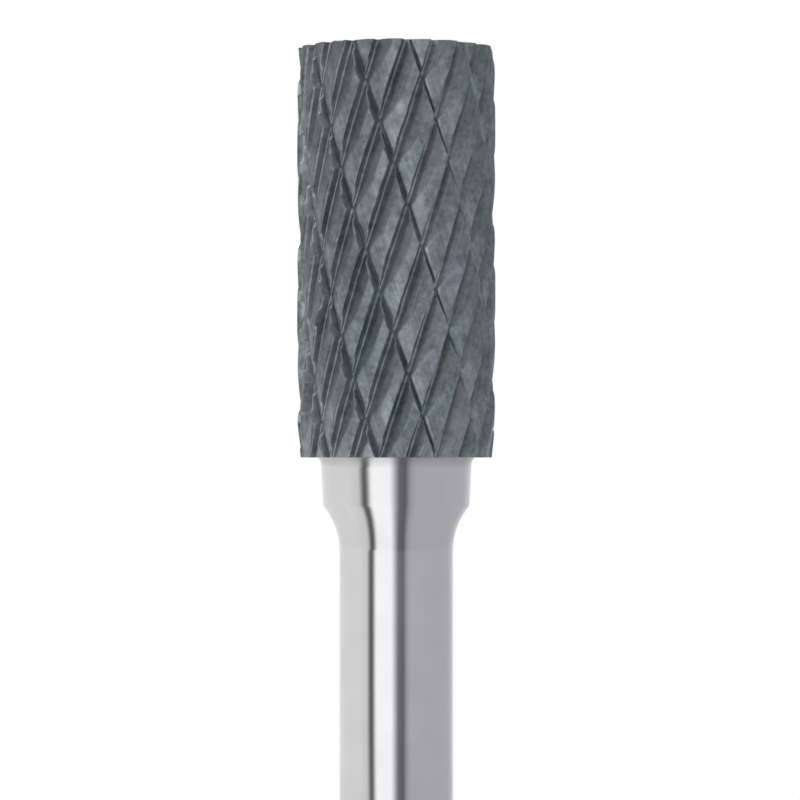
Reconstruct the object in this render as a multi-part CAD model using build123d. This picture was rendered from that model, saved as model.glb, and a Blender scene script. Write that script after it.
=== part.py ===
from build123d import *
import math
import os

# Carbide burr for a die grinder, in millimetres. The cutting head is a cylinder of sintered
# tungsten carbide with a double cut: right-hand flutes crossed by fewer left-hand chip-breaker
# cuts. A spigot on the turned steel shank sits in a blind socket in the head's base, and a film
# of silver solder joins the two.
# The tool axis is Z. The origin is the centre of the shank's free end, and +Z is towards the head.

# ---------------------------------------------------------------- shank
shank_diameter = 6.35          # 1/4 in, held in the collet
shank_length = 45.0            # free end to the seat that the head is brazed on
shank_end_chamfer = 0.5
neck_radius = 4.0              # concave sweep from the shank out to the collar
collar_foot_diameter = 8.2
collar_seat_diameter = 8.45
collar_length = 2.6
spigot_diameter = 4.8
spigot_length = 3.0
spigot_chamfer = 0.3

# ---------------------------------------------------------------- braze
braze_gap = 0.1                # solder film, all round the spigot and on the seat
braze_fillet_reach = 0.18      # how far the solder creeps out over the head's base
braze_fillet_drop = 0.45       # how far it runs down the collar

# ---------------------------------------------------------------- head
head_diameter = 11.1           # 7/16 in class, over the lands
head_length = 22.9
tip_chamfer = 0.15
base_relief_length = 2.0       # the blank draws in a little towards its base
base_relief_depth = 0.2

# Main cut, right-hand helix. Widths are measured round the head at the lands' diameter.
flute_count = 21
flute_helix = 19.6             # degrees from the tool axis
flute_angle = -85.3            # degrees from +X to one cutting edge, at the head's base
flute_depth = 0.6
flute_rake = 18.0              # degrees that the cutting face leans back
flute_floor_width = 0.18
flute_foot_slope = 45.0        # degrees, floor to break
flute_break_depth = 0.27       # where the steep foot of the tooth's back meets its relief
flute_relief_slope = 29.0      # degrees, break to heel of the land

# Chip-breaker cut, left-hand helix. Its back is one shallow relief.
breaker_count = 10
breaker_helix = 20.6
breaker_angle = -67.4          # degrees from +X to the cut's edge, at the head's base
breaker_depth = 0.43
breaker_rake = 26.0
breaker_floor_width = 0.04
breaker_relief_slope = 14.3

# Each cutter runs past the blank by this much, beyond its ends and outside its lands.
cutter_overrun = 0.05

# ---------------------------------------------------------------- what follows from the sizes
shank_radius = shank_diameter / 2
collar_foot_radius = collar_foot_diameter / 2
collar_seat_radius = collar_seat_diameter / 2
spigot_radius = spigot_diameter / 2
head_radius = head_diameter / 2

seat_z = shank_length
spigot_end_z = seat_z + spigot_length
collar_foot_z = seat_z - collar_length
neck_step = collar_foot_radius - shank_radius
neck_foot_z = collar_foot_z - math.sqrt(neck_radius**2 - (neck_radius - neck_step) ** 2)

head_base_z = seat_z + braze_gap
head_end_z = head_base_z + head_length
socket_radius = spigot_radius + braze_gap
socket_end_z = spigot_end_z + braze_gap


def polar(radius, degrees):
    """Point at a radius and an angle from +X, in the plane square to the tool axis."""
    return (radius * math.cos(math.radians(degrees)), radius * math.sin(math.radians(degrees)))


def groove_corners(depth, rake, floor_width, *back):
    """Corners of one cut, as depth below the lands and distance round from the cutting edge.
    The back climbs in facets, each given as a slope and the depth that it ends at."""
    lean = math.tan(math.radians(rake))
    corners = [(-cutter_overrun, -cutter_overrun * lean), (depth, depth * lean)]
    corners.append((depth, depth * lean + floor_width))
    for slope, end_depth in back:
        down, along = corners[-1]
        corners.append((end_depth, along + (down - end_depth) / math.tan(math.radians(slope))))
    return corners


def ground_section(count, start, corners):
    """Section square to the axis that one set of cuts leaves: grooves, with a land after each."""
    pitch = 360 / count
    degrees_per_mm = math.degrees(1 / head_radius)
    outline = []
    for tooth in range(count):
        edge_angle = start + tooth * pitch
        points = [polar(head_radius - down, edge_angle + along * degrees_per_mm) for down, along in corners]
        outline += [Line(first, second) for first, second in zip(points, points[1:])]
        # The land, from this groove's heel to the next cutting edge.
        land_start = edge_angle + corners[-1][1] * degrees_per_mm
        land_end = edge_angle + pitch + corners[0][1] * degrees_per_mm
        land_radius = head_radius + cutter_overrun
        outline.append(
            ThreePointArc(
                points[-1],
                polar(land_radius, (land_start + land_end) / 2),
                polar(land_radius, land_end),
            )
        )
    return make_face(outline)


def helical_cut(helix, hand, start, count, corners):
    """What one set of cuts leaves of a bar: its section, twisted evenly along the head."""
    twist_per_mm = hand * math.degrees(math.tan(math.radians(helix)) / head_radius)
    length = head_length + 2 * cutter_overrun
    section = ground_section(count, start - twist_per_mm * cutter_overrun, corners)
    bar = Solid.extrude_linear_with_rotation(section.face(), (0, 0, 0), (0, 0, length), twist_per_mm * length)
    return Pos(0, 0, head_base_z - cutter_overrun) * bar


def turned(outline):
    """Solid of revolution about the tool axis, from an outline of radius and height."""
    return revolve(Plane.XZ * make_face(outline), Axis.Z)


def make_carbide_head():
    """Sintered blank with a blind socket in its base, then both sets of cuts."""
    blank = turned(
        Polyline(
            (socket_radius, head_base_z),
            (head_radius - base_relief_depth, head_base_z),
            (head_radius, head_base_z + base_relief_length),
            (head_radius, head_end_z - tip_chamfer),
            (head_radius - tip_chamfer, head_end_z),
            (0, head_end_z),
            (0, socket_end_z),
            (socket_radius, socket_end_z),
            close=True,
        )
    )
    flute_corners = groove_corners(
        flute_depth,
        flute_rake,
        flute_floor_width,
        (flute_foot_slope, flute_break_depth),
        (flute_relief_slope, -cutter_overrun),
    )
    breaker_corners = groove_corners(
        breaker_depth,
        breaker_rake,
        breaker_floor_width,
        (breaker_relief_slope, -cutter_overrun),
    )
    flutes = helical_cut(flute_helix, 1, flute_angle, flute_count, flute_corners)
    breakers = helical_cut(breaker_helix, -1, breaker_angle, breaker_count, breaker_corners)
    return blank & flutes & breakers


def make_steel_shank():
    """Turned in one piece: chamfered end, ground shank, concave neck, tapered collar, spigot."""
    middle_z = neck_foot_z + (collar_foot_z - neck_foot_z) / 2
    middle_radius = shank_radius + neck_radius - math.sqrt(neck_radius**2 - (middle_z - neck_foot_z) ** 2)
    outline = [
        Polyline(
            (0, 0),
            (shank_radius - shank_end_chamfer, 0),
            (shank_radius, shank_end_chamfer),
            (shank_radius, neck_foot_z),
        ),
        ThreePointArc(
            (shank_radius, neck_foot_z),
            (middle_radius, middle_z),
            (collar_foot_radius, collar_foot_z),
        ),
        Polyline(
            (collar_foot_radius, collar_foot_z),
            (collar_seat_radius, seat_z),
            (spigot_radius, seat_z),
            (spigot_radius, spigot_end_z - spigot_chamfer),
            (spigot_radius - spigot_chamfer, spigot_end_z),
            (0, spigot_end_z),
            (0, 0),
        ),
    ]
    return turned(outline)


def make_braze_joint():
    """Silver solder between spigot and socket and on the seat, with a fillet round the collar."""
    collar_taper = (collar_seat_radius - collar_foot_radius) / collar_length
    fillet_foot = (collar_seat_radius - collar_taper * braze_fillet_drop, seat_z - braze_fillet_drop)
    fillet_lip = (collar_seat_radius + braze_fillet_reach, head_base_z)
    # The fillet is hollow: its middle lies a quarter of the way from the corner to the chord.
    fillet_middle = (
        collar_seat_radius + braze_fillet_reach / 4,
        seat_z - braze_fillet_drop / 4,
    )
    outline = [
        ThreePointArc(fillet_foot, fillet_middle, fillet_lip),
        Polyline(
            fillet_lip,
            (socket_radius, head_base_z),
            (socket_radius, socket_end_z),
            (0, socket_end_z),
            (0, spigot_end_z),
            (spigot_radius - spigot_chamfer, spigot_end_z),
            (spigot_radius, spigot_end_z - spigot_chamfer),
            (spigot_radius, seat_z),
            (collar_seat_radius, seat_z),
            fillet_foot,
        ),
    ]
    return turned(outline)


os.makedirs("parts", exist_ok=True)
export_step(make_carbide_head(), "parts/carbide_head.step")
export_step(make_steel_shank(), "parts/steel_shank.step")
export_step(make_braze_joint(), "parts/braze_joint.step")
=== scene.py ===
import math

import bmesh
import bpy
import numpy as np
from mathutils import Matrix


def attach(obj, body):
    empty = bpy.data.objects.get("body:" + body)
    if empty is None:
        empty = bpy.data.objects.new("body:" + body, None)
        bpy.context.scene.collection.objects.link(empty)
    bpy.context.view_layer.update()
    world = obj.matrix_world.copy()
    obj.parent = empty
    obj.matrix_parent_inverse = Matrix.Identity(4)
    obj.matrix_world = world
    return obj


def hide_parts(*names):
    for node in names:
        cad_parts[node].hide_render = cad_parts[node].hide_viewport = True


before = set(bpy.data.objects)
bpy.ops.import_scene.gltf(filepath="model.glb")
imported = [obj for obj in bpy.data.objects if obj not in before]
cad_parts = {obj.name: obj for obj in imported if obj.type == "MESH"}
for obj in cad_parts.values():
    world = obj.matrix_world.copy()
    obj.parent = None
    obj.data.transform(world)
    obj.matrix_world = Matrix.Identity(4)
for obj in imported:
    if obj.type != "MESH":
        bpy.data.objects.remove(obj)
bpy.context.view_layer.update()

# ---------------------------------------------------------------- steel shank
# The shank is one turned and ground piece of tool steel: the plain round bar that a collet grips,
# a concave neck, and a slightly tapered collar. A spigot above the collar goes into the head.
# It is ground to a bright finish, with very fine marks running round it.
mm = 0.001
shank_radius = 6.35 * mm / 2
shank_length = 45.0 * mm
shank_end_chamfer = 0.5 * mm
neck_radius = 4.0 * mm
collar_foot_radius = 8.2 * mm / 2
collar_seat_radius = 8.45 * mm / 2
collar_length = 2.6 * mm
spigot_radius = 4.8 * mm / 2
spigot_length = 3.0 * mm
spigot_chamfer = 0.3 * mm
edge_break = 0.03 * mm
turned_segments = 256
smooth_up_to = math.radians(28)
end_face_hub = 0.4 * mm


def lathe(name, outline, segments=turned_segments):
    """Mesh object turned about the tool axis from an outline of (radius, height) points."""
    angles = np.linspace(0, 2 * math.pi, segments, endpoint=False)
    vertices, rings = [], []
    for radius, height in outline:
        count = segments if radius > 0 else 1
        rings.append(range(len(vertices), len(vertices) + count))
        vertices += [(radius * math.cos(a), radius * math.sin(a), height) for a in angles[:count]]
    faces = []
    for lower, upper in zip(rings, rings[1:]):
        for i in range(segments):
            corners = [
                lower[i % len(lower)],
                lower[(i + 1) % len(lower)],
                upper[(i + 1) % len(upper)],
                upper[i % len(upper)],
            ]
            faces.append(list(dict.fromkeys(corners)))
    mesh = bpy.data.meshes.new(name)
    mesh.from_pydata(vertices, [], faces)
    mesh.validate()
    piece = bpy.data.objects.new(name, mesh)
    bpy.context.collection.objects.link(piece)
    mesh.shade_smooth()
    mesh.set_sharp_from_angle(angle=smooth_up_to)
    return piece


def straight(start, end, steps):
    """Points from start up to, and not including, end."""
    return [
        (start[0] + (end[0] - start[0]) * i / steps, start[1] + (end[1] - start[1]) * i / steps)
        for i in range(steps)
    ]


neck_step = collar_foot_radius - shank_radius
neck_rise = math.sqrt(neck_radius**2 - (neck_radius - neck_step) ** 2)
collar_foot = shank_length - collar_length
neck_foot = collar_foot - neck_rise
neck_turn = math.asin(neck_rise / neck_radius)
neck_steps = 28
neck_curve = [
    (
        shank_radius + neck_radius * (1 - math.cos(neck_turn * i / neck_steps)),
        neck_foot + neck_radius * math.sin(neck_turn * i / neck_steps),
    )
    for i in range(neck_steps)
]
spigot_end = shank_length + spigot_length
shank_outline = (
    [(0, 0)]
    + straight((end_face_hub, 0), (shank_radius - shank_end_chamfer, 0), 4)
    + [
        (shank_radius - shank_end_chamfer, 0),
        (shank_radius, shank_end_chamfer),
    ]
    + straight((shank_radius, shank_end_chamfer + edge_break), (shank_radius, neck_foot), 24)
    + neck_curve
    + straight(
        (collar_foot_radius, collar_foot),
        (collar_seat_radius, shank_length),
        6,
    )
    + [
        (collar_seat_radius, shank_length),
        (spigot_radius, shank_length),
        (spigot_radius, spigot_end - spigot_chamfer),
        (spigot_radius - spigot_chamfer, spigot_end),
        (0, spigot_end),
    ]
)


def node(tree, kind, settings=None, **inputs):
    """A shader node with its plain settings and socket values; a socket given a socket is linked."""
    made = tree.nodes.new(kind)
    for key, value in (settings or {}).items():
        setattr(made, key, value)
    for key, value in inputs.items():
        name = key.replace("_", " ")
        socket = made.inputs[int(key[1:])] if key[0] == "i" and key[1:].isdigit() else made.inputs[name]
        if isinstance(value, bpy.types.NodeSocket):
            tree.links.new(value, socket)
        else:
            socket.default_value = value
    return made


def maths(tree, operation, first, second=0.0, clamp=False):
    """Result of one sum on numbers or sockets."""
    settings = {"operation": operation, "use_clamp": clamp}
    return node(tree, "ShaderNodeMath", settings, i0=first, i1=second).outputs[0]


def mix(tree, factor, first, second):
    """Colour between first and second."""
    made = node(tree, "ShaderNodeMix", {"data_type": "RGBA"})
    for socket, value in ((made.inputs[0], factor), (made.inputs[6], first), (made.inputs[7], second)):
        if isinstance(value, bpy.types.NodeSocket):
            tree.links.new(value, socket)
        else:
            socket.default_value = value
    return made.outputs[2]


def group(name, inputs, outputs):
    """An empty node group with named inputs and outputs; returns its tree, input and output."""
    tree = bpy.data.node_groups.new(name, "ShaderNodeTree")
    for label, default in inputs.items():
        socket = tree.interface.new_socket(label, in_out="INPUT", socket_type="NodeSocketFloat")
        socket.default_value = default
    for label in outputs:
        tree.interface.new_socket(label, in_out="OUTPUT", socket_type="NodeSocketFloat")
    return tree, tree.nodes.new("NodeGroupInput"), tree.nodes.new("NodeGroupOutput")


def placed(tree, inner, **inputs):
    """A node group placed in a material, with its own values."""
    return node(tree, "ShaderNodeGroup", {"node_tree": inner}, **inputs)


# Marks left by grinding round the tool axis: noise stretched round the axis and fine along it.
turned_marks, marks_in, marks_out = group(
    "turned marks", {"Marks per mm": 12.0, "Round per mm": 0.25}, ["Mark"]
)
place = node(turned_marks, "ShaderNodeTexCoord").outputs["Object"]
apart = node(turned_marks, "ShaderNodeSeparateXYZ", Vector=place)
round_scale = maths(turned_marks, "MULTIPLY", marks_in.outputs["Round per mm"], 1 / mm)
marks_scale = maths(turned_marks, "MULTIPLY", marks_in.outputs["Marks per mm"], 1 / mm)
stretched = node(
    turned_marks,
    "ShaderNodeCombineXYZ",
    X=maths(turned_marks, "MULTIPLY", apart.outputs["X"], round_scale),
    Y=maths(turned_marks, "MULTIPLY", apart.outputs["Y"], round_scale),
    Z=maths(turned_marks, "MULTIPLY", apart.outputs["Z"], marks_scale),
)
marks_noise = node(
    turned_marks,
    "ShaderNodeTexNoise",
    Vector=stretched.outputs[0],
    Scale=1.0,
    Detail=3.0,
    Roughness=0.6,
)
turned_marks.links.new(marks_noise.outputs[0], marks_out.inputs["Mark"])

# Uneven tone over a surface: soft blotches, sized in millimetres.
blotches, blotches_in, blotches_out = group("blotches", {"Size mm": 1.0, "Contrast": 1.0}, ["Tone"])
blotch_scale = maths(blotches, "DIVIDE", 1 / mm, blotches_in.outputs["Size mm"])
blotch_place = node(blotches, "ShaderNodeTexCoord").outputs["Object"]
blotch_noise = node(
    blotches,
    "ShaderNodeTexNoise",
    Vector=blotch_place,
    Scale=blotch_scale,
    Detail=4.0,
    Roughness=0.55,
)
centred = maths(blotches, "SUBTRACT", blotch_noise.outputs[0], 0.5)
spread = maths(blotches, "MULTIPLY", centred, blotches_in.outputs["Contrast"])
blotches.links.new(
    maths(blotches, "ADD", spread, 0.5, clamp=True),
    blotches_out.inputs["Tone"],
)


def material(name):
    """A new material; returns it with its tree and its Principled shader."""
    made = bpy.data.materials.new(name)
    made.use_nodes = True
    return made, made.node_tree, made.node_tree.nodes["Principled BSDF"]


ground_steel, steel_tree, steel_shader = material("ground_steel")
steel_shader.inputs["Metallic"].default_value = 1.0
steel_tone = placed(steel_tree, blotches, Size_mm=2.4, Contrast=1.6).outputs["Tone"]
steel_marks = placed(steel_tree, turned_marks, Marks_per_mm=14.0, Round_per_mm=0.3).outputs["Mark"]
steel_tree.links.new(
    mix(steel_tree, steel_tone, (0.60, 0.60, 0.615, 1), (0.655, 0.655, 0.665, 1)),
    steel_shader.inputs["Base Color"],
)
steel_roughness = node(
    steel_tree,
    "ShaderNodeMapRange",
    Value=steel_marks,
    i1=0.3,
    i2=0.7,
    i3=0.08,
    i4=0.105,
)
steel_tree.links.new(steel_roughness.outputs[0], steel_shader.inputs["Roughness"])
steel_bump = node(
    steel_tree,
    "ShaderNodeBump",
    Strength=0.08,
    Distance=0.003 * mm,
    Height=steel_marks,
)
steel_tree.links.new(steel_bump.outputs[0], steel_shader.inputs["Normal"])

shank = lathe("ground_shank", shank_outline)
shank.data.materials.append(ground_steel)
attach(shank, "root")
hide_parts("steel_shank")

# ---------------------------------------------------------------- silver solder
# A film of silver solder holds the head on the collar and round the spigot. Only its outer edge
# shows: a small hollow fillet in the corner between the collar and the head's base.
braze_gap = 0.1 * mm
fillet_reach = 0.18 * mm
fillet_drop = 0.45 * mm
head_base = shank_length + braze_gap
socket_radius = spigot_radius + braze_gap
socket_end = spigot_end + braze_gap
collar_taper = (collar_seat_radius - collar_foot_radius) / collar_length
fillet_foot = (collar_seat_radius - collar_taper * fillet_drop, shank_length - fillet_drop)
fillet_lip = (collar_seat_radius + fillet_reach, head_base)
fillet_corner = (collar_seat_radius, shank_length)
fillet_steps = 10


def hollow(start, corner, end, steps):
    """A hollow curve from start to end, drawn in towards the corner."""
    points = []
    for i in range(steps + 1):
        t = i / steps
        points.append(
            tuple(
                (1 - t) ** 2 * a + 2 * t * (1 - t) * b + t**2 * c
                for a, b, c in zip(start, corner, end)
            )
        )
    return points


solder_outline = (
    [
        (0, spigot_end),
        (spigot_radius - spigot_chamfer, spigot_end),
        (spigot_radius, spigot_end - spigot_chamfer),
        (spigot_radius, shank_length),
        (collar_seat_radius, shank_length),
    ]
    + hollow(fillet_foot, fillet_corner, fillet_lip, fillet_steps)
    + [
        (socket_radius, head_base),
        (socket_radius, socket_end),
        (0, socket_end),
    ]
)
silver_solder, solder_tree, solder_shader = material("silver_solder")
solder_shader.inputs["Metallic"].default_value = 1.0
solder_tone = placed(solder_tree, blotches, Size_mm=0.6, Contrast=1.2).outputs["Tone"]
# It thins out to the steel's own tone at its foot; towards the head its colour darkens, painted shade
# under the head's base, and it grows rougher.
solder_place = node(solder_tree, "ShaderNodeTexCoord").outputs["Object"]
solder_height = node(solder_tree, "ShaderNodeSeparateXYZ", Vector=solder_place).outputs["Z"]
towards_head = node(
    solder_tree, "ShaderNodeMapRange", Value=solder_height, i1=fillet_foot[1], i2=shank_length
).outputs[0]
solder_painted_shade = mix(solder_tree, solder_tone, (0.44, 0.44, 0.445, 1), (0.52, 0.52, 0.52, 1))
solder_color = mix(solder_tree, towards_head, (0.63, 0.63, 0.64, 1), solder_painted_shade)
solder_tree.links.new(solder_color, solder_shader.inputs["Base Color"])
solder_roughness = node(solder_tree, "ShaderNodeMapRange", Value=towards_head, i3=0.1, i4=0.18)
solder_tree.links.new(solder_roughness.outputs[0], solder_shader.inputs["Roughness"])

solder = lathe("solder_fillet", solder_outline)
solder.data.materials.append(silver_solder)
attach(solder, "root")
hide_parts("braze_joint")

# ---------------------------------------------------------------- carbide head
# The head is one cylinder of sintered tungsten carbide. Diamond wheels grind its teeth: right-hand
# flutes with a leaning cutting face, a narrow floor and a relieved back, then fewer left-hand
# chip-breaker cuts with a narrow steep foot and a long shallow relief.
head_radius = 11.1 * mm / 2
head_length = 22.9 * mm
head_end = head_base + head_length
tip_chamfer = 0.05 * mm
base_relief_length = 2.0 * mm
base_relief_depth = 0.2 * mm

flute_count = 21
flute_lean = math.tan(math.radians(19.6))
flute_angle = math.radians(-85.3)
flute_pitch = 2 * math.pi * head_radius / flute_count
breaker_count = 10
breaker_lean = math.tan(math.radians(20.6))
breaker_angle = math.radians(-67.4)
breaker_pitch = 2 * math.pi * head_radius / breaker_count


def ground_groove(pitch, depth, rake, back, radii, steps):
    """One groove and its land as the wheel leaves them, as rows of distance round the head from
    the cutting edge, depth, and slope in radians. The back climbs in facets, each given as a slope
    and the depth it ends at. Every corner has its own radius and steps."""
    corners = [(0, 0), (depth * math.tan(math.radians(rake)), depth)]
    for slope, end_depth in back:
        along, down = corners[-1]
        corners.append((along + (down - end_depth) / math.tan(math.radians(slope)), end_depth))
    ring_of_corners = [(corners[-1][0] - pitch, 0)] + corners + [(pitch, 0)]
    rows = []
    for index, corner in enumerate(corners):
        before, after = ring_of_corners[index], ring_of_corners[index + 2]
        arrive = math.atan2(corner[1] - before[1], corner[0] - before[0])
        leave = math.atan2(after[1] - corner[1], after[0] - corner[0])
        bend = radii[index] * (1 if leave > arrive else -1)
        setback = bend * math.tan((leave - arrive) / 2)
        first = (corner[0] - setback * math.cos(arrive), corner[1] - setback * math.sin(arrive))
        flat_steps, bend_steps = steps[index]
        if rows:
            flat = np.linspace(rows[-1], (*first, arrive), flat_steps + 1)
            rows += [tuple(row) for row in flat[1:-1]]
        for i in range(bend_steps + 1):
            slope = arrive + (leave - arrive) * i / bend_steps
            rows.append(
                (
                    first[0] + bend * (math.sin(slope) - math.sin(arrive)),
                    first[1] + bend * (math.cos(arrive) - math.cos(slope)),
                    slope,
                )
            )
    land = np.linspace(rows[-1], (pitch + rows[0][0], 0, 0), steps[-1] + 1)
    rows += [tuple(row) for row in land[1:-1]]
    return np.array(rows)


flute_groove = ground_groove(
    flute_pitch,
    depth=0.6 * mm,
    rake=18.0,
    back=((16.0, 0.55 * mm), (43.5, 0.27 * mm), (26.5, 0)),
    radii=(0.02 * mm, 0.1 * mm, 0.2 * mm, 1.1 * mm, 1.0 * mm),
    steps=((0, 1), (2, 3), (1, 3), (1, 3), (2, 4), 4),
)
breaker_groove = ground_groove(
    breaker_pitch,
    depth=0.57 * mm,
    rake=22.0,
    back=((20.0, 0.563 * mm), (54.0, 0.44 * mm), (30.0, 0.36 * mm), (15.5, 0.15 * mm), (10.0, 0)),
    radii=(0.02 * mm, 0.03 * mm, 0.05 * mm, 0.25 * mm, 0.7 * mm, 3.0 * mm, 2.5 * mm),
    steps=((0, 1), (2, 2), (1, 2), (1, 2), (1, 3), (4, 2), (6, 3), 5),
)

# The mesh follows the cuts: one family of lines runs along the flutes, the other along the
# chip-breaker cuts, and both crowd together where the section turns.
flute_total = len(flute_groove) * flute_count
breaker_total = len(breaker_groove) * breaker_count


def line_place(index, groove, pitch):
    """Distance round the head's base of a mesh line, counted through all the grooves."""
    return groove[index % len(groove), 0] + (index // len(groove)) * pitch


blank_margin = 0.4 * mm
breaker_turns = 3              # turns of chip-breaker lines counted either way from the first
rim_snap = 0.004 * mm          # mesh lines this close to a trimming plane are drawn onto it


def head_lattice():
    """The two families of lines on a plain cylinder a little longer than the head."""
    spare = breaker_turns * breaker_total
    flute_index, breaker_index = np.meshgrid(
        np.arange(flute_total + 1), np.arange(-spare, spare), indexing="ij"
    )
    across = line_place(flute_index, flute_groove, flute_pitch) + flute_angle * head_radius
    counter = line_place(breaker_index, breaker_groove, breaker_pitch) + breaker_angle * head_radius
    height = (counter - across) / (flute_lean + breaker_lean)
    around = (across + flute_lean * height) / head_radius
    on_blank = (height > -blank_margin) & (height < head_length + blank_margin)
    keep = on_blank[:-1, :-1] & on_blank[1:, :-1] & on_blank[1:, 1:] & on_blank[:-1, 1:]
    numbers = {}
    points = []
    faces = []

    def vertex(i, j):
        # The last flute line is the first one again, a whole turn of breaker lines further on.
        key = (0, j - breaker_total) if i == flute_total else (i, j)
        if key not in numbers:
            numbers[key] = len(points)
            turn = around[i, j + spare]
            rise = height[i, j + spare]
            points.append((head_radius * math.cos(turn), head_radius * math.sin(turn), head_base + rise))
        return numbers[key]

    for i, column in zip(*np.nonzero(keep)):
        i, j = int(i), int(column) - spare
        faces.append([vertex(i, j), vertex(i + 1, j), vertex(i + 1, j + 1), vertex(i, j + 1)])
    mesh = bpy.data.meshes.new("carbide_teeth")
    mesh.from_pydata(points, [], faces)
    return mesh


carbide_mesh = head_lattice()
shape = bmesh.new()
shape.from_mesh(carbide_mesh)
trimming = (
    (head_base, -1, True),
    (head_end - tip_chamfer, 1, False),
    (head_end, 1, True),
)
for level, way, trim in trimming:
    bmesh.ops.bisect_plane(
        shape,
        geom=shape.verts[:] + shape.edges[:] + shape.faces[:],
        dist=rim_snap,
        plane_co=(0, 0, level),
        plane_no=(0, 0, way),
        clear_outer=trim,
    )

ridge_rounding = 0.06 * mm
uneven_depth = 0.02 * mm       # half of how much shallower a flute can be ground
edge_reach = 0.07 * mm         # width of the band along a cutting edge that is painted lighter, partly wear and partly painted glint
edge_wander = 0.02 * mm
wander_swells = (2.3 * mm, 0.8 * mm)
chip_depth = 0.05 * mm
chip_reach = 0.1 * mm
chip_swells = (0.9 * mm, 0.4 * mm)
chip_onset = 1.0               # of 2; the higher, the fewer the chips
near_land = 0.06 * mm          # chips, and the edge band of wear and painted glint, stay above this depth
rim_tolerance = 0.002 * mm
face_slope = math.radians(50)  # slope that counts fully as a cutting face
face_reach = 0.45 * mm         # depth at which the painted shading of a cutting face has faded out
# the chip-breaker cuts' cutting faces are painted lighter, painted light, where the flutes' are painted
# darker
breaker_face_painted_light = -0.4


def wander(points, size):
    """Smooth unevenness between -1 and 1, whose swells are about this size."""
    x, y, z = (points * (2 * math.pi / size)).T
    first = np.sin(x + 1.7 * np.sin(0.61 * z + 0.8 * y))
    second = np.sin(0.83 * z + 1.3 * np.sin(0.71 * x)) * np.cos(0.9 * y + 0.4 * x)
    return (first + second) / 2


def groove_at(along, groove, pitch):
    """Depth and slope of one set of cuts at distances round the head."""
    places = along % pitch
    depth = np.interp(places, groove[:, 0] % pitch, groove[:, 1], period=pitch)
    slope = np.interp(places, groove[:, 0] % pitch, groove[:, 2], period=pitch)
    return depth, slope


def cut_head(points):
    """For points on the blank: where they end up, the outward normal there, and the marks for colour and
    painted shading: how much of a cutting face, how near an edge, which cut made it, and the tone of the
    tooth."""
    turn = np.arctan2(points[:, 1], points[:, 0])
    height = points[:, 2] - head_base
    across = (turn - flute_angle) * head_radius - flute_lean * height
    counter = (turn - breaker_angle) * head_radius + breaker_lean * height
    flute_depth, flute_slope = groove_at(across, flute_groove, flute_pitch)
    breaker_depth, breaker_slope = groove_at(counter, breaker_groove, breaker_pitch)
    # No two flutes are ground to quite the same depth, and none is quite even along its length.
    flute_number = np.floor(across / flute_pitch) % flute_count
    breaker_number = np.floor(counter / breaker_pitch) % breaker_count
    along_flute = np.sin(2.4 * flute_number + 0.21 * height / mm)
    shallow = uneven_depth * (1 + along_flute * np.cos(1.7 * flute_number))
    flute_depth = np.maximum(flute_depth - shallow, 0)
    # Where the two cuts meet they leave a ridge, which is rounded a little.
    difference = flute_depth - breaker_depth
    deeper = np.maximum(flute_depth, breaker_depth)
    rounding = np.minimum(ridge_rounding, deeper) + 1e-9
    by_flute = np.clip(0.5 + 0.5 * difference / rounding, 0, 1)
    depth = deeper + np.maximum(rounding - np.abs(difference), 0) ** 2 / (4 * rounding)
    depth = np.where(deeper > 0, depth, 0)
    # The cutting edges are a little chipped.
    from_edge = np.minimum(
        np.minimum(across % flute_pitch, (-across) % flute_pitch),
        np.minimum(counter % breaker_pitch, (-counter) % breaker_pitch),
    )
    chipping = np.clip(sum(wander(points, swell) for swell in chip_swells) - chip_onset, 0, 1)
    on_top = depth < near_land
    chip = chip_depth * chipping * np.exp(-((from_edge / chip_reach) ** 2)) * on_top
    # Band along the cutting edges that is painted lighter: partly wear, partly painted glint.
    near_edge = np.clip(1 - from_edge / edge_reach, 0, 1) * on_top
    depth = depth + chip
    flute_steep = np.where(flute_depth > 0, np.tan(flute_slope), 0) * by_flute
    breaker_steep = np.where(breaker_depth > 0, np.tan(breaker_slope), 0) * (1 - by_flute)
    radius = head_radius - depth
    sideways = (flute_steep + breaker_steep) * head_radius / radius
    upward = breaker_lean * breaker_steep - flute_lean * flute_steep
    base_limit = head_radius - base_relief_depth * np.clip(1 - height / base_relief_length, 0, 1)
    tip_limit = head_radius - tip_chamfer + (head_length - height)
    for limit, rise in ((base_limit, -base_relief_depth / base_relief_length), (tip_limit, 1.0)):
        under = radius > limit + rim_tolerance
        radius = np.where(under, limit, radius)
        sideways = np.where(under, 0, sideways)
        upward = np.where(under, rise, upward)
    normal = np.stack(
        (
            np.cos(turn) - sideways * np.sin(turn),
            np.sin(turn) + sideways * np.cos(turn),
            upward,
        ),
        axis=1,
    )
    normal /= np.linalg.norm(normal, axis=1)[:, None]
    # The cuts aren't quite straight.
    long_swell, short_swell = (wander(points, swell) for swell in wander_swells)
    turn = turn + edge_wander * (long_swell + 0.5 * short_swell) / head_radius
    cut_points = np.stack((radius * np.cos(turn), radius * np.sin(turn), points[:, 2]), axis=1)
    # Painted shading on the cutting faces: the flutes' faces are painted darker, painted shade, and the
    # chip-breaker cuts' faces lighter, painted light; it fades out with depth.
    flute_face = np.maximum(flute_slope, 0)
    breaker_face = breaker_face_painted_light * np.maximum(breaker_slope, 0)
    leaning = np.where(by_flute > 0.5, flute_face, breaker_face)
    fading = np.clip(1 - depth / face_reach, 0, 1)
    marks = {
        "face": np.clip(leaning / face_slope, -1, 1) * fading,
        "edge": near_edge,
        "breaker": 1 - by_flute,
        "tooth": (np.sin(12.9898 * flute_number + 78.233 * breaker_number) * 43758.5453) % 1,
    }
    return cut_points, normal, marks


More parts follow.
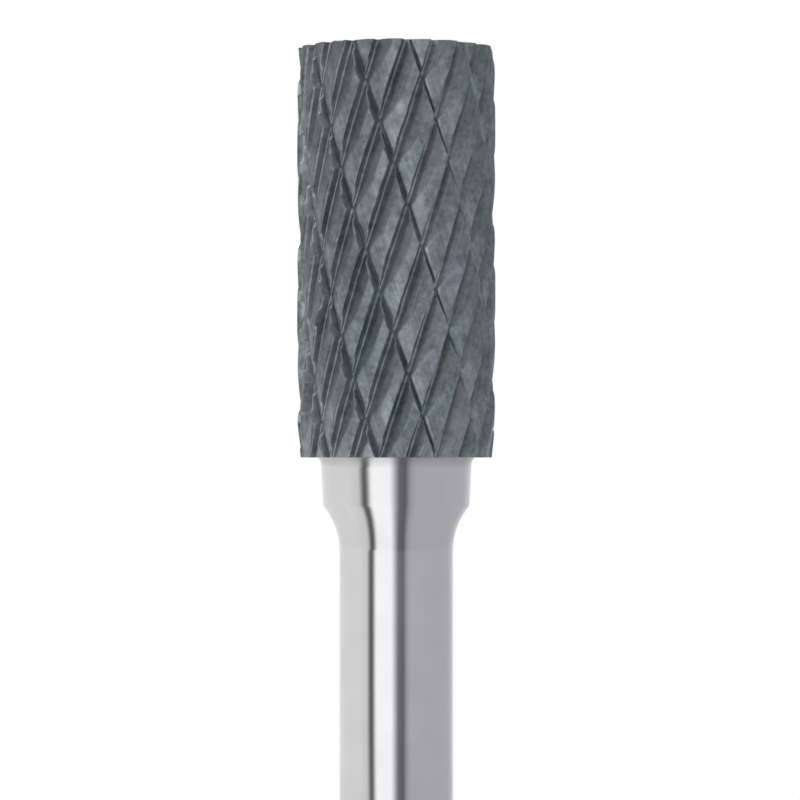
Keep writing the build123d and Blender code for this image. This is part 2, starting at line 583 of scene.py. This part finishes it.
# Each vertex on the cut side carries its number from 1, because the order changes further on.
cut_points, tooth_normal, colour_and_shading_marks = cut_head(np.array([vertex.co for vertex in shape.verts]))
cut_number = shape.verts.layers.int.new("cut_number")
for i, vertex in enumerate(shape.verts):
    vertex.co = cut_points[i]
    vertex[cut_number] = i + 1

# Ends: the flat tip, and the flat base with the socket that the spigot goes into.
middle = head_base + head_length / 2
rim = [edge for edge in shape.edges if edge.is_boundary]
tip_rim = [edge for edge in rim if edge.verts[0].co.z > middle]
base_rim = [edge for edge in rim if edge.verts[0].co.z < middle]


def in_order(edge):
    """The ends of a rim edge, anticlockwise as seen from above."""
    first, second = edge.verts
    ahead = first.co.x * second.co.y - first.co.y * second.co.x
    return (first, second) if ahead > 0 else (second, first)


def inside(vertex, height):
    """New vertex on the socket's wall, at the same bearing as one on the rim."""
    shrink = socket_radius / math.hypot(vertex.co.x, vertex.co.y)
    return shape.verts.new((vertex.co.x * shrink, vertex.co.y * shrink, height))


tip_centre = shape.verts.new((0, 0, head_end))
for edge in tip_rim:
    shape.faces.new((*in_order(edge), tip_centre))
base_corners = {vertex for edge in base_rim for vertex in edge.verts}
mouth = {vertex: inside(vertex, head_base) for vertex in base_corners}
bottom = {vertex: inside(vertex, socket_end) for vertex in base_corners}
socket_centre = shape.verts.new((0, 0, socket_end))
for edge in base_rim:
    first, second = in_order(edge)
    shape.faces.new((second, first, mouth[first], mouth[second]))
    shape.faces.new((mouth[second], mouth[first], bottom[first], bottom[second]))
    shape.faces.new((bottom[second], bottom[first], socket_centre))
shape.to_mesh(carbide_mesh)
shape.free()
carbide_mesh.shade_smooth()

# The teeth take their shading from the exact ground surfaces; the ends are plain flats.
flat_end_above = 0.6           # upward part of a face's normal
corner_vertex = np.zeros(len(carbide_mesh.loops), dtype=np.int32)
carbide_mesh.loops.foreach_get("vertex_index", corner_vertex)
corner_count = np.zeros(len(carbide_mesh.polygons), dtype=np.int32)
face_normal = np.zeros(3 * len(carbide_mesh.polygons), dtype=np.float32)
carbide_mesh.polygons.foreach_get("loop_total", corner_count)
carbide_mesh.polygons.foreach_get("normal", face_normal)
corner_face_normal = np.repeat(face_normal.reshape(-1, 3), corner_count, axis=0)
vertex_number = np.zeros(len(carbide_mesh.vertices), dtype=np.int32)
carbide_mesh.attributes["cut_number"].data.foreach_get("value", vertex_number)
carbide_mesh.attributes.remove(carbide_mesh.attributes["cut_number"])
is_cut = vertex_number[corner_vertex] > 0
on_side = is_cut & (np.abs(corner_face_normal[:, 2]) < flat_end_above)
corner_tooth_normal = tooth_normal[vertex_number[corner_vertex] - 1]
corner_normal = np.where(on_side[:, None], corner_tooth_normal, corner_face_normal)
carbide_mesh.normals_split_custom_set(corner_normal.tolist())
for label, values in colour_and_shading_marks.items():
    layer = carbide_mesh.attributes.new(label, "FLOAT", "POINT")
    layer.data.foreach_set("value", np.where(vertex_number > 0, values[vertex_number - 1], 0))

# Scratches that a grinding wheel leaves along one set of cuts: noise in a frame that is untwisted,
# so that the cuts run straight up it, then stretched along them.
wheel_marks, wheel_in, wheel_out = group(
    "wheel marks", {"Twist per mm": 0.06, "Across per mm": 9.0, "Along per mm": 0.5}, ["Mark"]
)
wheel_place = node(wheel_marks, "ShaderNodeTexCoord").outputs["Object"]
wheel_height = node(wheel_marks, "ShaderNodeSeparateXYZ", Vector=wheel_place).outputs["Z"]
untwist = maths(wheel_marks, "MULTIPLY", wheel_in.outputs["Twist per mm"], -1 / mm)
untwisted = node(
    wheel_marks,
    "ShaderNodeVectorRotate",
    {"rotation_type": "Z_AXIS"},
    Vector=wheel_place,
    Angle=maths(wheel_marks, "MULTIPLY", wheel_height, untwist),
)
wheel_parts = node(wheel_marks, "ShaderNodeSeparateXYZ", Vector=untwisted.outputs[0])
across_scale = maths(wheel_marks, "MULTIPLY", wheel_in.outputs["Across per mm"], 1 / mm)
along_scale = maths(wheel_marks, "MULTIPLY", wheel_in.outputs["Along per mm"], 1 / mm)
wheel_stretched = node(
    wheel_marks,
    "ShaderNodeCombineXYZ",
    X=maths(wheel_marks, "MULTIPLY", wheel_parts.outputs["X"], across_scale),
    Y=maths(wheel_marks, "MULTIPLY", wheel_parts.outputs["Y"], across_scale),
    Z=maths(wheel_marks, "MULTIPLY", wheel_parts.outputs["Z"], along_scale),
)
wheel_noise = node(
    wheel_marks,
    "ShaderNodeTexNoise",
    Vector=wheel_stretched.outputs[0],
    Scale=1.0,
    Detail=3.0,
    Roughness=0.6,
)
wheel_marks.links.new(wheel_noise.outputs[0], wheel_out.inputs["Mark"])

carbide, carbide_tree, carbide_shader = material("ground_carbide")
carbide_shader.inputs["Metallic"].default_value = 0.85
flute_twist = flute_lean / (head_radius / mm)
breaker_twist = -breaker_lean / (head_radius / mm)


def mark(label):
    return node(carbide_tree, "ShaderNodeAttribute", {"attribute_name": label}).outputs["Fac"]


def number(factor, first, second):
    """Number between first and second."""
    made = node(carbide_tree, "ShaderNodeMix", {"data_type": "FLOAT"}, i0=factor, i2=first, i3=second)
    return made.outputs[0]


def wheel_scratches(across, along):
    """Marks along the flutes, or along the chip-breaker cuts where those made the surface."""
    along_flutes = placed(
        carbide_tree, wheel_marks, Twist_per_mm=flute_twist, Across_per_mm=across, Along_per_mm=along
    )
    along_breakers = placed(
        carbide_tree, wheel_marks, Twist_per_mm=breaker_twist, Across_per_mm=across, Along_per_mm=along
    )
    return number(mark("breaker"), along_flutes.outputs["Mark"], along_breakers.outputs["Mark"])


def weighted(*terms):
    """Sum of tones, each with its share."""
    total = 0.0
    for tone, share in terms:
        total = maths(carbide_tree, "ADD", total, maths(carbide_tree, "MULTIPLY", tone, share))
    return total


fine_grain = placed(carbide_tree, blotches, Size_mm=0.3, Contrast=1.8).outputs["Tone"]
coarse_grain = placed(carbide_tree, blotches, Size_mm=0.9, Contrast=2.2).outputs["Tone"]
tint_patches = placed(carbide_tree, blotches, Size_mm=2.6, Contrast=3.0).outputs["Tone"]
grain = weighted(
    (wheel_scratches(6.0, 0.35), 0.35),
    (wheel_scratches(2.2, 0.2), 0.2),
    (fine_grain, 0.25),
    (coarse_grain, 0.2),
)
# Lighter cutting edges, mottled: partly wear, partly painted glint.
worn_and_glinting_edge = maths(carbide_tree, "MULTIPLY", mark("edge"), fine_grain)
grain_tone = node(
    carbide_tree, "ShaderNodeMapRange", Value=grain, i1=0.35, i2=0.65, i3=0.6, i4=1.3
)
# The colour: grain, a random tone for each tooth, painted shading on the cutting faces, and lighter
# cutting edges.
brightness = weighted(
    (grain_tone.outputs[0], 1.0),
    (mark("tooth"), 0.16),
    (mark("face"), -0.34),
    (worn_and_glinting_edge, 0.3),
)
tint_tone = weighted((tint_patches, 0.6), (mark("tooth"), 0.4))
tinted = mix(carbide_tree, tint_tone, (0.243, 0.297, 0.284, 1), (0.287, 0.293, 0.332, 1))
toned = node(carbide_tree, "ShaderNodeVectorMath", {"operation": "SCALE"}, i0=tinted, Scale=brightness)
carbide_tree.links.new(toned.outputs[0], carbide_shader.inputs["Base Color"])
carbide_roughness = node(
    carbide_tree, "ShaderNodeMapRange", Value=grain, i1=0.3, i2=0.7, i3=0.46, i4=0.34
)
carbide_tree.links.new(carbide_roughness.outputs[0], carbide_shader.inputs["Roughness"])
carbide_bump = node(
    carbide_tree, "ShaderNodeBump", Strength=0.8, Distance=0.02 * mm, Height=grain
)
carbide_tree.links.new(carbide_bump.outputs[0], carbide_shader.inputs["Normal"])

head = bpy.data.objects.new("carbide_teeth", carbide_mesh)
bpy.context.collection.objects.link(head)
head.data.materials.append(carbide)
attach(head, "root")
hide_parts("carbide_head")

# ---------------------------------------------------------------- floor
# A plain pale round floor under the shank's end.
floor_radius = 250 * mm
floor_mesh = bpy.data.meshes.new("floor")
floor_shape = bmesh.new()
bmesh.ops.create_circle(floor_shape, cap_ends=True, segments=128, radius=floor_radius)
floor_shape.to_mesh(floor_mesh)
floor_shape.free()
floor = bpy.data.objects.new("floor", floor_mesh)
bpy.context.collection.objects.link(floor)
pale, pale_tree, pale_shader = material("pale_floor")
pale_shader.inputs["Base Color"].default_value = (0.86, 0.86, 0.86, 1)
pale_shader.inputs["Roughness"].default_value = 0.8
floor.data.materials.append(pale)
floor.visible_glossy = False

# ---------------------------------------------------------------- studio light
# A white tent with panels and black flags, as rings of light round the part. Each ring holds from
# one elevation to another, and gives brightness by bearing from the camera towards its right.
def shank_band(dimming, left_flag_turn):
    """What the steel shows: a white panel between two black flags, pale grey left, mid grey right.
    The left flag and the panel's left edge can stand further round."""
    band = (
        (-180, 0.95),
        (-80, 1.02),
        (-62 + left_flag_turn, 0.90),
        (-58 + left_flag_turn, 0.50),
        (-55 + left_flag_turn, 0.16),
        (-49 + left_flag_turn, 0.17),
        (-41 + left_flag_turn, 1.46),
        (-10, 1.46),
        (-2, 0.66),
        (4, 0.22),
        (14, 0.16),
        (22, 0.50),
        (30, 0.61),
        (130, 0.61),
        (180, 0.95),
    )
    return tuple((bearing, dimming * level) for bearing, level in band)


studio_rings = [
    # from below: seen in the neck, in the collar, then in the shank
    (-90, -50, shank_band(0.98, 4)),
    (-9, -5.7, shank_band(0.95, 3)),
    (-4.4, -0.5, shank_band(1.0, 0)),
    # at the head's level: a broad light round the camera, and black flags at the sides
    (
        1.0,
        7,
        (
            (-180, 0.30),
            (-150, 0.30),
            (-110, 0.08),
            (-75, 0.06),
            (-38, 0.88),
            (-16, 0.90),
            (6, 1.45),
            (28, 1.25),
            (52, 1.05),
            (80, 0.20),
            (110, 0.05),
            (145, 0.15),
            (180, 0.30),
        ),
    ),
    (
        14,
        14,
        (
            (-180, 1.25),
            (-160, 1.15),
            (-138, 0.50),
            (-115, 0.25),
            (-85, 0.04),
            (-50, 0.10),
            (-20, 0.20),
            (6, 0.75),
            (28, 0.30),
            (55, 0.05),
            (80, 0.40),
            (110, 0.65),
            (145, 1.00),
            (180, 1.20),
        ),
    ),
    (26, 26, ((-180, 0.48), (-150, 0.48), (-90, 0.03), (60, 0.03), (115, 0.45), (180, 0.48))),
    # the top of the tent, brightest at the left and the back
    (
        45,
        90,
        (
            (-180, 2.10),
            (-150, 2.35),
            (-90, 2.85),
            (-40, 1.55),
            (10, 0.36),
            (60, 0.80),
            (115, 1.70),
            (180, 2.10),
        ),
    ),
]
world = bpy.data.worlds.new("studio")
bpy.context.scene.world = world
world.use_nodes = True
sky = world.node_tree
sky.nodes.clear()
direction = node(sky, "ShaderNodeTexCoord").outputs["Generated"]
parts = node(sky, "ShaderNodeSeparateXYZ", Vector=direction)
towards_front = maths(sky, "SUBTRACT", 1.0, parts.outputs["Y"])
half_bearing = maths(sky, "ARCTAN2", parts.outputs["X"], towards_front)
turn = maths(sky, "ADD", maths(sky, "DIVIDE", half_bearing, math.pi), 0.5)
brightest = max(level for ring in studio_rings for _, level in ring[2])


def ring_light(levels):
    """Brightness round one ring, as a share of the brightest."""
    ramp = node(sky, "ShaderNodeValToRGB", Fac=turn)
    stops = ramp.color_ramp.elements
    stops.remove(stops[-1])
    for index, (degrees, level) in enumerate(levels):
        place = (degrees + 180) / 360
        stop = stops[0] if index == 0 else stops.new(place)
        stop.position = place
        stop.color = (level / brightest, level / brightest, level / brightest, 1)
    return ramp.outputs["Color"]


tent = ring_light(studio_rings[0][2])
for lower, upper in zip(studio_rings, studio_rings[1:]):
    blend = node(
        sky,
        "ShaderNodeMapRange",
        Value=parts.outputs["Z"],
        i1=math.sin(math.radians(lower[1])),
        i2=math.sin(math.radians(upper[0])),
    )
    tent = mix(sky, blend.outputs[0], tent, ring_light(upper[2]))
# The left of the tent is neutral, and the right is a little bluer.
side = node(sky, "ShaderNodeMapRange", Value=parts.outputs["X"], i1=-0.7, i2=0.7)
tint = mix(sky, side.outputs[0], (1.0, 1.0, 0.99, 1), (0.985, 0.99, 1.05, 1))
tinted_tent = node(sky, "ShaderNodeVectorMath", {"operation": "MULTIPLY"}, i0=tent, i1=tint)
lit = node(sky, "ShaderNodeBackground", Color=tinted_tent.outputs[0], Strength=brightest)
seen = node(sky, "ShaderNodeBackground", Color=(1, 1, 1, 1), Strength=1.0)
ray = node(sky, "ShaderNodeLightPath")
both = node(
    sky,
    "ShaderNodeMixShader",
    i0=ray.outputs["Is Camera Ray"],
    i1=lit.outputs[0],
    i2=seen.outputs[0],
)
node(sky, "ShaderNodeOutputWorld", Surface=both.outputs[0])

# ---------------------------------------------------------------- camera
# The camera is level with the head's base, about 211 mm from the tool axis, tipped up a little.
image_pixels = 800
pixels_per_mm = 17.86
horizon_row = 457.5
axis_column = 396.3
sensor_width = 36.0
camera_distance = 211.3 * mm
focal_pixels = pixels_per_mm * camera_distance / mm
camera_data = bpy.data.cameras.new("camera")
camera_data.sensor_width = sensor_width
camera_data.lens = sensor_width * focal_pixels / image_pixels
camera_data.clip_start = 0.01
camera_data.clip_end = 10
camera = bpy.data.objects.new("camera", camera_data)
bpy.context.collection.objects.link(camera)
tip_up = math.atan((horizon_row - image_pixels / 2) / focal_pixels)
side_step = (image_pixels / 2 - axis_column) / pixels_per_mm * mm
camera.location = (side_step, -camera_distance, head_base)
camera.rotation_euler = (math.pi / 2 + tip_up, 0, 0)
bpy.context.scene.camera = camera
bpy.context.scene.view_settings.view_transform = "Standard"
